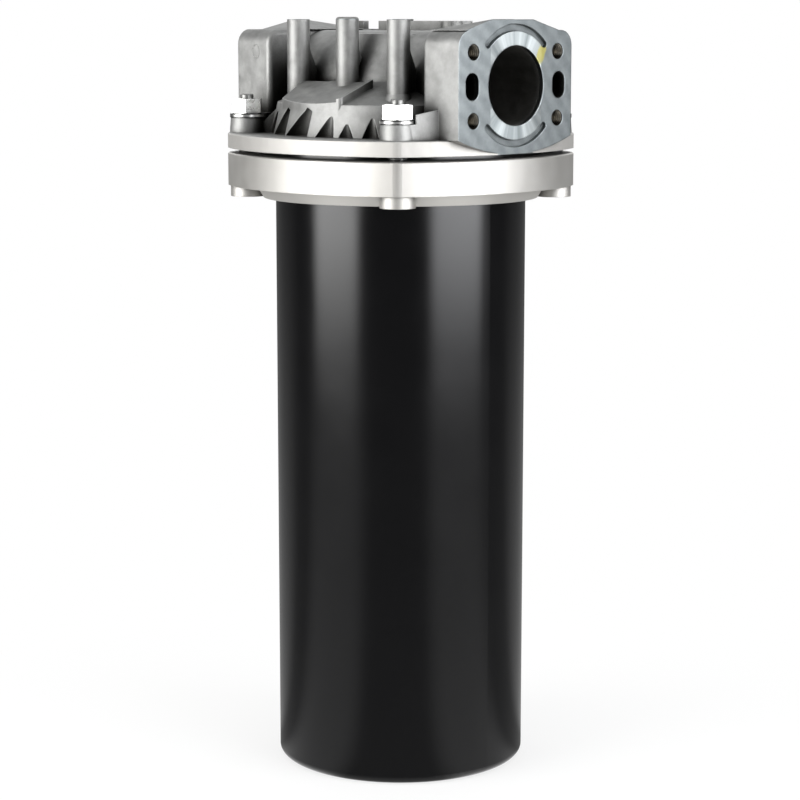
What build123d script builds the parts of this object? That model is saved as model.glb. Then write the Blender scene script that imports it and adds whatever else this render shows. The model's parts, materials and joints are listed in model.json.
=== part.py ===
from build123d import *

import math
import os

# Hydraulic filter housing: a cast head with two flange ports, a clamp ring, a welded steel bowl
# and a pleated element with a bypass valve. Millimetres, +Z up, ports along X.
# The origin is the middle of the bowl's underside.

# Modelling allowances: a joined shape reaches LAP into its neighbour and a cut LAP past its face,
# and a large trim runs PAST beyond what it trims
LAP: float = 1.0
PAST: float = 20.0

# Bowl
TUBE_OD: float = 168.3
TUBE_WALL: float = 4.0
TUBE_DROP: float = 386.0
BOTTOM_THICK: float = 8.0
BOTTOM_EDGE_R: float = 5.0
COLLAR_WIDTH: float = 11.15
COLLAR_THICK: float = 10.5

# Clamp ring
RING_HUB_H: float = 7.6
RING_HUB_WALL: float = 8.0
RING_HUB_FLARE: float = 4.5
RING_RIM_H: float = 22.0
RING_EDGE: float = 0.8
RING_CLEAR: float = 0.35
RING_LUG_R: float = 11.5
JOINT_GAP: float = 2.9

# Corner lugs, studs, nuts and washers
STUD_D: float = 12.0
STUD_TO_COLLAR: float = 1.94
STUD_THREAD_DEPTH: float = 26.0
STUD_POINT_D: float = 8.8
STUD_POINT_H: float = 5.0
STUD_PROUD: float = 3.0
STUD_HOLE_CLEAR: float = 0.75
LUG_R: float = 13.1
LUG_BOSS_TOP_R: float = 11.0
LUG_BOSS_BASE_R: float = 12.2
LUG_BOSS_H: float = 10.1
WASHER_OD: float = 23.0
WASHER_T: float = 2.5
WASHER_CLEAR: float = 0.5
NUT_FLATS: float = 19.0
NUT_H: float = 10.0
NUT_CHAMFER: float = 1.2

# Head flange and dome
RIM_MARGIN: float = 11.7
FLANGE_T: float = 10.2
FLANGE_EDGE: float = 0.8
DOME_BASE_MARGIN: float = 14.5
DOME_SKIRT_H: float = 20.8
DOME_SKIRT_LEAN: float = 5.0
DOME_TOP_R: float = 46.0
DOME_SLOPE: float = 0.379
PAD_LENGTH: float = 33.5
PAD_FRONT_X: tuple[float, float] = (-30.0, 27.0)
PAD_BACK_X: tuple[float, float] = (-43.5, 25.0)
PAD_PROUD: float = 0.9
PAD_CORNER_R: float = 3.0
PAD_RIDGE_W: float = 3.6
PAD_RIDGE_H: float = 2.2
RIDGE_W: float = 5.0
RIDGE_SET_IN: float = 4.0
RIDGE_FOOT_DOWN: float = 4.0
SCALLOP_TIP: float = 0.25
SCALLOPS: list[tuple[float, float, float, float]] = [
    (-49.0, 15.5, 8.0, 25.0), (-30.5, 16.9, 9.5, 25.0), (-7.0, 17.7, 10.8, 26.0),
    (18.3, 14.2, 7.3, 15.0), (33.5, 9.0, 5.6, 0.0), (48.5, 13.2, 5.8, 4.0)]

# Ports, to the 2 inch split-flange pattern
PORT_BORE: float = 51.0
PORT_BORE_DEPTH: float = 32.0
PASSAGE_DRAFT: float = 1.5
PORT_RISE: float = 43.5
PORT_FACE_CUT: float = 0.7
PORT_PATTERN_Y: float = 77.8
PORT_PATTERN_Z: float = 42.9
PORT_TAP_D: float = 10.2
PORT_TAP_DEPTH: float = 24.0
PORT_SLOT_Y: float = 40.0
PORT_SLOT_W: float = 11.7
PORT_SLOT_H: float = 17.3
PORT_SLOT_DEPTH: float = 15.0
PORT_GROOVE_R: float = 36.75
PORT_GROOVE_W: float = 4.5
PORT_GROOVE_DEPTH: float = 3.0
PORT_GROOVE_SPAN: float = 90.0
BLOCK_DEPTH: float = 32.7
BLOCK_HALF_W: float = 52.25
BLOCK_CORNER_R: float = 10.0
BLOCK_SHOULDER: float = 35.0
BLOCK_INNER_R: float = 3.5
BLOCK_PEAK: float = 41.8
OUTLET_ROOF_Y: tuple[float, float, float, float] = (-46.0, -23.0, 15.5, 40.0)
INLET_ROOF_Y: tuple[float, float, float, float] = (-30.5, 0.5, 6.5, 36.0)
GUSSET_REACH: float = 15.5
GUSSET_LOW: float = 12.7
GUSSET_HIGH: float = 19.3
GUSSET_SLOPE_L: float = 8.5
SPOT_FACE_CLEAR: float = 1.2
BODY_WALL: float = 8.9
NECK_WALL: float = 2.0
NECK_FLARE: float = 20.2
NECK_BELOW_TOP: float = 2.0

# Mounting bosses on top
BOSS_D: float = 15.2
BOSS_X: float = 48.2
BOSS_Y: float = 48.4
BOSS_TAP_D: float = 6.8
BOSS_TAP_DEPTH: float = 18.0
BOSS_RAW_EXTRA: float = 1.6
BOSS_RAW_ROUND: float = 2.0
BOSS_FOOT_R: float = 9.6
BOSS_FOOT_H: float = 5.0
BOSS_FOOT_UP: float = 2.0
BOSS_ROOT: float = 6.0
BOSS_RIB_T: float = 3.0
BOSS_RIB_REACH: float = 12.0
BOSS_RIB_DROP: float = 14.0
BOSS_RIB_ROOT: float = 4.0

# Back rail and indicator block
RAIL_FROM_X: float = -89.0
RAIL_FRONT_Y: float = 44.5
RAIL_T: float = 5.0
RAIL_LOW: float = 1.2
RAIL_ROOT: float = 4.0
RAIL_NOTCH_X: tuple[float, float] = (-84.0, -68.5)
INDICATOR_X: float = -30.0
INDICATOR_W: float = 52.0
INDICATOR_SET_IN: float = 7.9
INDICATOR_DEPTH: float = 30.0
INDICATOR_EDGE: float = 3.0
INDICATOR_RISE: float = 4.0
PLUG_THREAD_D: float = 20.0
PLUG_THREAD_L: float = 14.0
PLUG_HEAD_D: float = 27.0
PLUG_HEAD_H: float = 5.0
PLUG_SOCKET_FLATS: float = 10.0
PLUG_SOCKET_DEPTH: float = 7.0
PLUG_SEAL_T: float = 1.5

# Inside the head
PILOT_CLEAR: float = 0.25
PILOT_WALL: float = 7.0
PILOT_LENGTH: float = 18.5
SPIGOT_OD: float = 56.0
SPIGOT_WALL: float = 5.0
SPIGOT_BELOW_PILOT: float = 22.0
CHAMBER_LOW: float = 11.5
CHAMBER_HIGH: float = 23.0
CHAMBER_RISE: float = 9.0
CHAMBER_SECTOR: float = 230.0
DROP_WALL: float = 2.0
INLET_DROP_HALF: float = 22.0

# Seals
SEAL_CORD: float = 3.5
SEAL_SIDES: int = 10
SEAL_GROOVE_DEPTH: float = 2.9
SEAL_GROOVE_W: float = 4.6
PILOT_SEAL_DOWN: float = 8.5
NECK_SEAL_DOWN: float = 6.0

# Filter element
ELEMENT_TO_BOWL: float = 12.15
ELEMENT_TOP_DOWN: float = 8.0
CAP_T: float = 4.0
CAP_SKIRT_H: float = 12.0
CAP_SKIRT_T: float = 1.4
CAP_HUB_H: float = 20.0
CAP_HUB_WALL: float = 3.25
CAP_SPIGOT_CLEAR: float = 0.15
CORE_CLEAR: float = 0.2
CORE_WALL: float = 1.5
CORE_HOLE_D: float = 11.0
CORE_HOLES_AROUND: int = 5
CORE_HOLE_ROWS: int = 6
MEDIUM_CLEAR: float = 0.6
MEDIUM_GAP: float = 2.0
MEDIUM_PLY: float = 1.6
MEDIUM_PLEATS: int = 48

# Element spring, under the element
SPRING_WIRE: float = 4.0
SPRING_MEAN_D: float = 64.0
SPRING_LENGTH: float = 50.0
SPRING_TURNS: float = 4.0
COIL_STEPS: int = 14
WIRE_SIDES: int = 8

# Bypass valve, in the element's lower cap
SEAT_BORE: float = 28.0
POPPET_OVERLAP: float = 3.0
POPPET_T: float = 3.0
POPPET_STEM_D: float = 8.0
POPPET_STEM_CLEAR: float = 0.06
POPPET_STEM_PROUD: float = 6.0
BYPASS_WIRE: float = 1.8
BYPASS_MEAN_D: float = 19.0
BYPASS_LENGTH: float = 30.0
BYPASS_TURNS: float = 5.0
CAGE_TO_CORE: float = 3.5
CAGE_WALL: float = 3.0
CAGE_FOOT_T: float = 2.5
CAGE_TOP_T: float = 3.0
CAGE_LEG_W: float = 7.0
CAGE_LEGS: int = 3
CAGE_SIDE_CLEAR: float = 4.0

# Places worked out from the sizes above
TUBE_R: float = TUBE_OD / 2
TUBE_IR: float = TUBE_R - TUBE_WALL
COLLAR_R: float = TUBE_R + COLLAR_WIDTH
RING_Z: float = TUBE_DROP
RIM_Z: float = RING_Z + RING_HUB_H
RING_TOP: float = RIM_Z + RING_RIM_H
FLANGE_Z: float = RING_TOP + JOINT_GAP
FLANGE_TOP: float = FLANGE_Z + FLANGE_T
COLLAR_Z: float = FLANGE_Z - COLLAR_THICK
STUD_XY: float = (COLLAR_R + STUD_TO_COLLAR + STUD_D / 2) / math.sqrt(2)
CORNERS: list[tuple[float, float]] = [(1, -1), (1, 1), (-1, 1), (-1, -1)]
SIDE_REACH: float = COLLAR_R + RIM_MARGIN
LUG_TOP: float = FLANGE_TOP + LUG_BOSS_H
NUT_Z: float = LUG_TOP + WASHER_T
STUD_TOP: float = NUT_Z + NUT_H + STUD_PROUD
PORT_X: float = SIDE_REACH - PORT_FACE_CUT
PORT_Z: float = FLANGE_Z + PORT_RISE
BLOCK_X: float = PORT_X - BLOCK_DEPTH
BLOCK_TOP: float = PORT_Z + BLOCK_PEAK
SHOULDER_Z: float = PORT_Z + BLOCK_SHOULDER
BODY_R: float = PORT_BORE / 2 + BODY_WALL
PILOT_R: float = TUBE_IR - PILOT_CLEAR
CHAMBER_R: float = PILOT_R - PILOT_WALL
PILOT_Z: float = FLANGE_Z - PILOT_LENGTH
SPIGOT_R: float = SPIGOT_OD / 2
SPIGOT_Z: float = PILOT_Z - SPIGOT_BELOW_PILOT
DOME_BASE_R: float = CHAMBER_R + DOME_BASE_MARGIN
DOME_EDGE_R: float = DOME_BASE_R - DOME_SKIRT_LEAN
DOME_EDGE_Z: float = FLANGE_TOP + DOME_SKIRT_H
DOME_TOP_Z: float = DOME_EDGE_Z + (DOME_EDGE_R - DOME_TOP_R) * DOME_SLOPE
INDICATOR_Y: float = DOME_EDGE_R - INDICATOR_SET_IN
INDICATOR_Z: float = PORT_Z + INDICATOR_RISE
RAIL_TOP: float = BLOCK_TOP - RAIL_LOW
CAP_TOP: float = PILOT_Z - ELEMENT_TOP_DOWN
CAP_UNDER: float = CAP_TOP - CAP_T
CAP_BORE_R: float = SPIGOT_R + CAP_SPIGOT_CLEAR
CAP_HUB_R: float = CAP_BORE_R + SEAL_GROOVE_DEPTH + CAP_HUB_WALL
CORE_IR: float = CAP_HUB_R + CORE_CLEAR
CORE_OR: float = CORE_IR + CORE_WALL
FLOOR_CAP_Z: float = BOTTOM_THICK + SPRING_LENGTH
FLOOR_CAP_TOP: float = FLOOR_CAP_Z + CAP_T
ELEMENT_R: float = TUBE_IR - ELEMENT_TO_BOWL
MEDIUM_OR: float = ELEMENT_R - CAP_SKIRT_T - MEDIUM_CLEAR
MEDIUM_IR: float = CORE_OR + MEDIUM_GAP
POPPET_R: float = SEAT_BORE / 2 + POPPET_OVERLAP
POPPET_TOP: float = FLOOR_CAP_TOP + POPPET_T
CAGE_SEAT_Z: float = POPPET_TOP + BYPASS_LENGTH
CAGE_TOP: float = CAGE_SEAT_Z + CAGE_TOP_T
CAGE_IR: float = POPPET_R + CAGE_SIDE_CLEAR

UP: tuple[Align, Align, Align] = (Align.CENTER, Align.CENTER, Align.MIN)


# Shared shapes
def disc(radius: float, low: float, high: float) -> Part:
    """An upright cylinder on the Z axis between two heights."""
    return Pos(0, 0, low) * Cylinder(radius, high - low, align=UP)


def annulus(inner: float, outer: float, low: float, high: float) -> Part:
    """An upright ring on the Z axis between two heights."""
    return disc(outer, low, high) - disc(inner, low, high)


def turned(points: list[tuple[float, float]], degrees: float = 360.0) -> Part:
    """A turned solid about Z, from (radius, height) points."""
    profile = Plane.XZ * make_face(Polyline(*points, close=True))
    return revolve(profile, axis=Axis.Z, revolution_arc=degrees)


def along_x(sketch: Sketch, start: float, length: float) -> Part:
    """A (Y, Z) sketch extruded along +X from a start plane."""
    return Pos(start, 0, 0) * extrude(Plane.YZ * sketch, length)


def along_y(sketch: Sketch, start: float, length: float) -> Part:
    """An (X, Z) sketch extruded along +Y from a start plane."""
    return Pos(0, start, 0) * extrude(Plane.XZ * sketch, -length)


def polygon(*points: tuple[float, float]) -> Sketch:
    """A closed face with straight sides."""
    return Sketch() + make_face(Polyline(*points, close=True))


def both_ends(shape: Part) -> Part:
    """A shape on the +X side and its mirror image on the -X side."""
    return shape + mirror(shape, about=Plane.YZ)


def lug_outline() -> Sketch:
    """Four bulged sides that run tangent into the round corners at the studs."""
    side = STUD_XY
    free = SIDE_REACH - LUG_R
    offset = (2 * side * side - free * free) / (2 * (free - side))
    radius = SIDE_REACH + offset
    outline = Pos(0, offset) * Circle(radius)
    for centre in ((0, -offset), (offset, 0), (-offset, 0)):
        outline &= Pos(*centre) * Circle(radius)
    return Sketch() + fillet(outline.vertices(), LUG_R)


def at_studs(shape: Part) -> Part:
    """A shape repeated on the four studs, as one compound."""
    return Part() + [Pos(x * STUD_XY, y * STUD_XY, 0) * shape for x, y in CORNERS]


def flat_seal(inner: float, outer: float, middle: float) -> Part:
    """A cord ring pressed flat between an inner and an outer wall, many-sided to keep it light."""
    centre = (inner + outer) / 2
    cord = Pos(centre, middle) * RegularPolygon(SEAL_CORD / 2, SEAL_SIDES)
    gap = Pos(centre, middle) * Rectangle(outer - inner, 2 * SEAL_CORD)
    return revolve(Plane.XZ * (cord & gap), axis=Axis.Z)


def coil(wire: float, mean_d: float, low: float, high: float, turns: float) -> Part:
    """A wire spring between two end planes, bent in short straight lengths to keep it light."""
    steps = round(turns * COIL_STEPS)
    climb = (high - low - wire) / steps
    points = []
    for step in range(steps + 1):
        angle = math.radians(360 * step / COIL_STEPS)
        height = low + wire / 2 + step * climb
        points.append((mean_d / 2 * math.cos(angle), mean_d / 2 * math.sin(angle), height))
    path = Polyline(*points)
    section = Plane(origin=path @ 0, z_dir=path % 0) * RegularPolygon(wire / 2, WIRE_SIDES)
    return sweep(section, path=path, transition=Transition.RIGHT)


# Bowl and clamp ring
def bowl() -> Part:
    """Steel tube with its welded floor and the collar that the ring pulls up."""
    shell = turned([(0, 0), (TUBE_R, 0), (TUBE_R, COLLAR_Z), (COLLAR_R, COLLAR_Z),
                    (COLLAR_R, FLANGE_Z), (TUBE_IR, FLANGE_Z), (TUBE_IR, BOTTOM_THICK),
                    (0, BOTTOM_THICK)])
    foot = shell.edges().filter_by(GeomType.CIRCLE).sort_by(Axis.Z)[0]
    return fillet(foot, min(BOTTOM_EDGE_R, 0.9 * BOTTOM_THICK))


def clamp_ring() -> Part:
    """Cast ring with a lug for each stud and a step under the bowl's collar."""
    hub_r = TUBE_R + RING_HUB_WALL + RING_CLEAR
    rim = Pos(0, 0, RIM_Z) * extrude(lug_outline(), RING_RIM_H)
    rim = chamfer(rim.faces().sort_by(Axis.Z)[-1].edges(), RING_EDGE)
    hub = turned([(0, RING_Z), (hub_r, RING_Z), (hub_r + RING_HUB_FLARE, RIM_Z), (0, RIM_Z)])
    lug = disc(RING_LUG_R, RING_Z, RIM_Z + LAP)
    ring = rim + hub + at_studs(lug)
    ring -= disc(TUBE_R + RING_CLEAR, RING_Z - LAP, RING_TOP + LAP)
    ring -= disc(COLLAR_R + RING_CLEAR, COLLAR_Z, RING_TOP + LAP)
    return ring - at_studs(disc(STUD_D / 2, RING_TOP - STUD_THREAD_DEPTH, RING_TOP))


def stud(x: float, y: float) -> Part:
    """Stud screwed into the ring, with a turned-down point above its nut."""
    low = RING_TOP - STUD_THREAD_DEPTH
    shoulder = STUD_TOP - STUD_POINT_H
    post = disc(STUD_D / 2, low, shoulder) + disc(STUD_POINT_D / 2, shoulder, STUD_TOP)
    return Pos(x * STUD_XY, y * STUD_XY, 0) * post


def washer(x: float, y: float) -> Part:
    """Flat washer on its lug boss."""
    ring = annulus(STUD_D / 2 + WASHER_CLEAR, WASHER_OD / 2, LUG_TOP, NUT_Z)
    return Pos(x * STUD_XY, y * STUD_XY, 0) * ring


def nut(x: float, y: float) -> Part:
    """Hexagon nut with its corners turned back, one corner along the diagonal."""
    corner_r = NUT_FLATS / math.sqrt(3)
    prism = extrude(Rot(0, 0, -45) * RegularPolygon(corner_r, 6), NUT_H)
    barrel = turned([(0, 0), (corner_r - NUT_CHAMFER, 0), (corner_r, NUT_CHAMFER / 2),
                     (corner_r, NUT_H - NUT_CHAMFER / 2), (corner_r - NUT_CHAMFER, NUT_H), (0, NUT_H)])
    body = (prism & barrel) - disc(STUD_D / 2, 0, NUT_H)
    return Pos(x * STUD_XY, y * STUD_XY, NUT_Z) * body


# Head
def flange() -> Part:
    """Flange plate with a raised, drafted boss at each stud."""
    plate = Pos(0, 0, FLANGE_Z) * extrude(lug_outline(), FLANGE_T)
    plate = chamfer(plate.faces().sort_by(Axis.Z)[-1].edges(), FLANGE_EDGE)
    rise = LUG_BOSS_H + FLANGE_T / 2
    boss = Pos(0, 0, LUG_TOP - rise) * Cone(LUG_BOSS_BASE_R, LUG_BOSS_TOP_R, rise, align=UP)
    return plate + at_studs(boss)


def pad_height(y: float) -> float:
    """Height of the flat sloping pad's face above a place on the front."""
    return DOME_EDGE_Z + PAD_PROUD + (y + DOME_EDGE_R) * DOME_SLOPE


def above_pad(lift: float) -> Part:
    """Everything over the pad's sloping face, raised by a lift."""
    front, back = -DOME_EDGE_R - PAST, PAD_LENGTH - DOME_EDGE_R + PAST
    side = polygon((front, pad_height(front) + lift), (back, pad_height(back) + lift),
                   (back, BLOCK_TOP), (front, BLOCK_TOP))
    return along_x(side, -SIDE_REACH, 2 * SIDE_REACH)


def front_pad() -> Part:
    """Bare sloping pad on the dome's front, with a ridge along its right edge."""
    left, right = PAD_FRONT_X
    back_left, back_right = PAD_BACK_X
    front, back = -DOME_EDGE_R - LAP, PAD_LENGTH - DOME_EDGE_R
    rim = Circle(DOME_EDGE_R + PAD_PROUD)
    plan = polygon((left, front), (right, front), (back_right, back), (back_left, back)) & rim
    plan = fillet(plan.vertices().group_by(Axis.Y)[0], PAD_CORNER_R)
    strip = polygon((right - PAD_RIDGE_W, front), (right, front), (back_right, back),
                    (back_right - PAD_RIDGE_W, back)) & plan
    height = BLOCK_TOP - FLANGE_TOP
    pad = Pos(0, 0, FLANGE_TOP) * extrude(plan, height) - above_pad(0)
    ridge = Pos(0, 0, FLANGE_TOP) * extrude(strip, height) - above_pad(PAD_RIDGE_H)
    return pad + ridge


def dome() -> Part:
    """Low dome over the inlet chamber."""
    return turned([(0, FLANGE_TOP - LAP), (DOME_BASE_R, FLANGE_TOP - LAP), (DOME_EDGE_R, DOME_EDGE_Z),
                   (DOME_TOP_R, DOME_TOP_Z), (0, DOME_TOP_Z)])


def corner_ridges() -> Part:
    """A sloping rib from the dome down to each stud boss."""
    reach = STUD_XY * math.sqrt(2) - LUG_BOSS_TOP_R + LAP
    side = polygon((DOME_TOP_R, FLANGE_TOP), (reach, FLANGE_TOP), (reach, LUG_TOP - RIDGE_FOOT_DOWN),
                   (DOME_EDGE_R - RIDGE_SET_IN, DOME_EDGE_Z), (DOME_TOP_R, DOME_EDGE_Z))
    rib = Pos(0, -RIDGE_W / 2, 0) * extrude(Plane.XZ * side, -RIDGE_W)
    return Part() + [Rot(0, 0, 45 + 90 * turn) * rib for turn in range(4)]


def scallops() -> Part:
    """Tapered pockets up the skirt's slope: place along X, height, foot radius and lean of each."""
    cuts = Part()
    slope = DOME_SKIRT_LEAN / DOME_SKIRT_H
    for x, rise, foot_r, lean in SCALLOPS:
        reach = math.sqrt(DOME_BASE_R ** 2 - x * x)
        sideways = math.tan(math.radians(lean)) - slope * x / DOME_BASE_R
        aim = (sideways, slope * reach / DOME_BASE_R, 1.0)
        length = rise * math.hypot(*aim)
        tip_r = foot_r * SCALLOP_TIP
        below_r = foot_r + foot_r * (foot_r - tip_r) / length
        cone = Pos(0, 0, -foot_r) * Cone(below_r, tip_r, length + foot_r, align=UP)
        cut = Plane(origin=(x, -reach - LAP, FLANGE_TOP), z_dir=aim) * cone
        cuts += [cut, mirror(cut, about=Plane.XZ)]
    return cuts


def block_outline() -> Sketch:
    """(Y, Z) outline of a port block up to its shoulders, round below and at the corners."""
    wide = BLOCK_HALF_W
    sides = Polyline((-wide, FLANGE_TOP), (-wide, SHOULDER_Z), (wide, SHOULDER_Z), (wide, FLANGE_TOP))
    belly = ThreePointArc((wide, FLANGE_TOP), (0, FLANGE_Z), (-wide, FLANGE_TOP))
    face = Sketch() + make_face(sides + belly)
    return Sketch() + fillet(face.vertices().sort_by(Axis.Y)[-2:], BLOCK_CORNER_R)


def port_block(roof_y: tuple[float, float, float, float]) -> Part:
    """Block behind the +X port face, its roof rising from the inner edge to the face."""
    block = along_x(block_outline(), BLOCK_X, BLOCK_DEPTH)
    inner = block.edges().filter_by(Axis.Z).group_by(Axis.X)[0]
    block = fillet(inner, BLOCK_INNER_R)
    left, peak_left, peak_right, right = roof_y
    peak = polygon((left, SHOULDER_Z), (peak_left, BLOCK_TOP), (peak_right, BLOCK_TOP), (right, SHOULDER_Z))
    roof = along_x(peak, BLOCK_X, BLOCK_DEPTH)
    over = polygon((BLOCK_X, SHOULDER_Z), (PORT_X, BLOCK_TOP), (PORT_X, BLOCK_TOP + PAST),
                   (BLOCK_X, BLOCK_TOP + PAST))
    roof -= along_y(over, -BLOCK_HALF_W, 2 * BLOCK_HALF_W)
    return block + roof


def gusset() -> Part:
    """Web in the corner between the +X block's front side and its stud boss, with a sloping top."""
    side = BLOCK_HALF_W - LAP
    far = BLOCK_X + GUSSET_REACH
    low, high = FLANGE_TOP + GUSSET_LOW, FLANGE_TOP + GUSSET_HIGH
    plan = polygon((BLOCK_X, -side), (far, -side), (STUD_XY + LUG_BOSS_TOP_R, -STUD_XY), (STUD_XY, -STUD_XY),
                   (BLOCK_X - LUG_BOSS_BASE_R / 2, -STUD_XY + LUG_BOSS_BASE_R))
    web = Pos(0, 0, FLANGE_TOP - LAP) * extrude(plan, GUSSET_HIGH + LAP)
    over = polygon((STUD_XY - PAST, low), (far - GUSSET_SLOPE_L, low), (far, high), (far + PAST, high + PAST),
                   (STUD_XY - PAST, high + PAST))
    return web - along_y(over, -SIDE_REACH, SIDE_REACH)


def port_cuts() -> Part:
    """Taps, blind slots and arc grooves in the +X port face."""
    tap = Circle(PORT_TAP_D / 2)
    taps = Sketch() + [Pos(y * PORT_PATTERN_Y / 2, PORT_Z + z * PORT_PATTERN_Z / 2) * tap for y, z in CORNERS]
    slot = Rot(0, 0, 90) * SlotOverall(PORT_SLOT_H, PORT_SLOT_W)
    slots = Sketch() + [Pos(side * PORT_SLOT_Y, PORT_Z) * slot for side in (-1, 1)]
    arcs = [CenterArc((0, PORT_Z), PORT_GROOVE_R, middle - PORT_GROOVE_SPAN / 2, PORT_GROOVE_SPAN)
            for middle in (90, 270)]
    grooves = Sketch() + [SlotArc(arc, PORT_GROOVE_W) for arc in arcs]
    cuts = Part()
    for sketch, depth in ((taps, PORT_TAP_DEPTH), (slots, PORT_SLOT_DEPTH), (grooves, PORT_GROOVE_DEPTH)):
        cuts += along_x(sketch, PORT_X - depth, depth)
    return cuts


def body() -> Part:
    """Barrel between the ports and the tapered neck over the outlet spigot."""
    reach = BLOCK_X + LAP
    barrel = along_x(Pos(0, PORT_Z) * Circle(BODY_R), -reach, 2 * reach)
    neck_r = SPIGOT_R + NECK_WALL
    rise = PORT_Z + BODY_R - NECK_BELOW_TOP - DOME_EDGE_Z
    return barrel + Pos(0, 0, DOME_EDGE_Z) * Cone(neck_r + NECK_FLARE, neck_r, rise, align=UP)


def boss(x: float, y: float, top: float) -> Part:
    """Upright mounting boss."""
    return Pos(x, y, 0) * disc(BOSS_D / 2, DOME_EDGE_Z - BOSS_ROOT, top)


def bosses() -> Part:
    """Three bosses each side of the barrel, each with a thin rib to the barrel."""
    shapes = Part()
    foot_z = DOME_EDGE_Z + BOSS_FOOT_UP
    foot = Pos(0, 0, foot_z) * Cone(BOSS_FOOT_R, BOSS_D / 2, BOSS_FOOT_H, align=UP)
    foot += disc(BOSS_FOOT_R, foot_z - BOSS_ROOT, foot_z)
    raw = boss(0, -BOSS_Y, BLOCK_TOP + BOSS_RAW_EXTRA)
    shapes += fillet(raw.faces().sort_by(Axis.Z)[-1].edges(), BOSS_RAW_ROUND)
    shapes += boss(0, BOSS_Y, RAIL_TOP)
    for side in (-1, 1):
        y = side * BOSS_Y
        shapes += [boss(-BOSS_X, y, BLOCK_TOP), boss(BOSS_X, y, BLOCK_TOP), Pos(BOSS_X, y, 0) * foot]
        shapes += [Pos(x, 0, 0) * boss_rib(side) for x in (-BOSS_X, 0, BOSS_X)]
    return shapes


def boss_rib(side: int) -> Part:
    """Rib in the YZ plane from a boss towards the barrel."""
    outer = side * (BOSS_Y - BOSS_D / 2 + LAP)
    inner = outer - side * BOSS_RIB_REACH
    low = DOME_EDGE_Z - BOSS_RIB_ROOT
    profile = polygon((outer, BLOCK_TOP - BOSS_RIB_DROP), (inner, PORT_Z), (inner, low), (outer, low))
    return along_x(profile, -BOSS_RIB_T / 2, BOSS_RIB_T)


def back_rail() -> Part:
    """Rail along the back shoulder with its notch, and the block for the clogging indicator."""
    right = INDICATOR_X + INDICATOR_W / 2
    root = SHOULDER_Z - RAIL_ROOT
    low, high = RAIL_NOTCH_X
    side = polygon((RAIL_FROM_X, root), (RAIL_FROM_X, RAIL_TOP), (low, RAIL_TOP), (low, SHOULDER_Z),
                   (high, SHOULDER_Z), (high, RAIL_TOP), (right, RAIL_TOP), (right, root))
    rail = along_y(side, RAIL_FRONT_Y, RAIL_T)
    front = polygon((right - INDICATOR_W, FLANGE_TOP - LAP), (right - INDICATOR_W, RAIL_TOP),
                    (right, RAIL_TOP), (right, FLANGE_TOP - LAP))
    block = along_y(front, INDICATOR_Y - INDICATOR_DEPTH, INDICATOR_DEPTH)
    uprights = block.edges().filter_by(Axis.Z).sort_by(Axis.Y)[-2:]
    return rail + fillet(uprights, INDICATOR_EDGE)


def passage(start: float, length: float) -> Part:
    """Cast passage that narrows by its draft from the end of the +X port's bore inwards."""
    wide = PORT_BORE / 2
    return Pos(start, 0, PORT_Z) * Rot(0, -90, 0) * Cone(wide, wide - PASSAGE_DRAFT, length, align=UP)


def head_inside() -> Part:
    """Everything cut out of the head for the oil, the bowl's pilot and the studs."""
    bore_r = PORT_BORE / 2
    bore_end = PORT_X - PORT_BORE_DEPTH
    inner = SPIGOT_R + SPIGOT_WALL
    drop_to = CHAMBER_R - DROP_WALL
    mouth = along_x(Pos(0, PORT_Z) * Circle(bore_r), bore_end, PORT_BORE_DEPTH + LAP)
    outlet = passage(bore_end, bore_end) + Pos(0, 0, PORT_Z) * Sphere(bore_r - PASSAGE_DRAFT / 2)
    outlet += disc(SPIGOT_R - SPIGOT_WALL, SPIGOT_Z - LAP, PORT_Z)
    inlet = mirror(passage(bore_end, bore_end - inner), about=Plane.YZ)
    inlet += Pos(-drop_to, 0, FLANGE_Z) * Box(drop_to - inner, 2 * INLET_DROP_HALF, PORT_RISE,
                                              align=(Align.MIN, Align.CENTER, Align.MIN))
    low_chamber = annulus(SPIGOT_R, CHAMBER_R, PILOT_Z - LAP, FLANGE_Z + CHAMBER_LOW)
    high_chamber = turned([(inner, FLANGE_Z), (CHAMBER_R, FLANGE_Z), (CHAMBER_R, FLANGE_Z + CHAMBER_HIGH),
                           (inner, FLANGE_Z + CHAMBER_HIGH + CHAMBER_RISE)], CHAMBER_SECTOR)
    high_chamber = Rot(0, 0, (360 - CHAMBER_SECTOR) / 2) * high_chamber
    holes = at_studs(disc(STUD_D / 2 + STUD_HOLE_CLEAR, FLANGE_Z - LAP, LUG_TOP + LAP))
    seal_z = FLANGE_Z - PILOT_SEAL_DOWN
    groove = annulus(PILOT_R - SEAL_GROOVE_DEPTH, PILOT_R + LAP, seal_z - SEAL_GROOVE_W / 2,
                     seal_z + SEAL_GROOVE_W / 2)
    return both_ends(mouth) + outlet + inlet + low_chamber + high_chamber + holes + groove


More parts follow.
